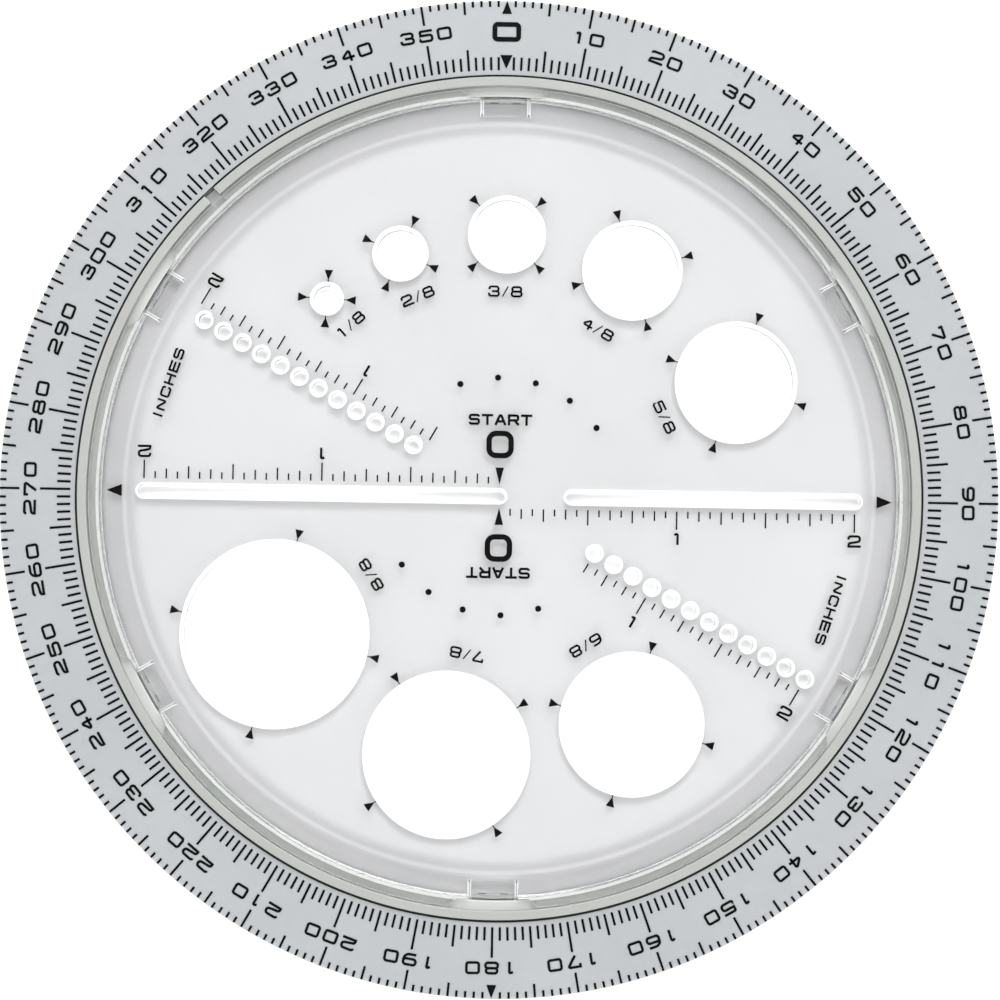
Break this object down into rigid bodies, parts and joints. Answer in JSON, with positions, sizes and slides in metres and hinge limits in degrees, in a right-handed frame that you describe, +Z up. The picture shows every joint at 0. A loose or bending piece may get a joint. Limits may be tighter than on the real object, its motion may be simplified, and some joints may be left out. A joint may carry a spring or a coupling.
{
  "type": "circle template",
  "caption": "Flat round drawing template: a clear disc with circle holes, slots and pencil holes turns inside a white degree ring.",
  "frame": {"origin": "on the plane that the template rests on, under the centre of the disc, on the axis that the disc turns about", "axes": "+Z up out of the printed face, +Y towards the ring's zero mark, +X towards its 90 degree mark"},
  "size_m": [0.1426, 0.1426, 0.0034],
  "materials": {
    "ring_plastic": "milky white moulded plastic, satin, with black printed degree marks",
    "bearing_plastic": "cream white moulded plastic, satin",
    "clear_plastic": "clear moulded polystyrene, glossy, with black printed scales"
  },
  "bodies": {
    "ring": {"protractor_ring": "ring_plastic", "bearing_ring": "bearing_plastic"},
    "disc": {"template_disc": "clear_plastic"}
  },
  "joints": [
    {"name": "disc_spin", "type": "hinge", "parent": "ring", "child": "disc", "pos_m": [0, 0, 0.0016], "axis": [0, 0, 1], "continuous": true}
  ]
}
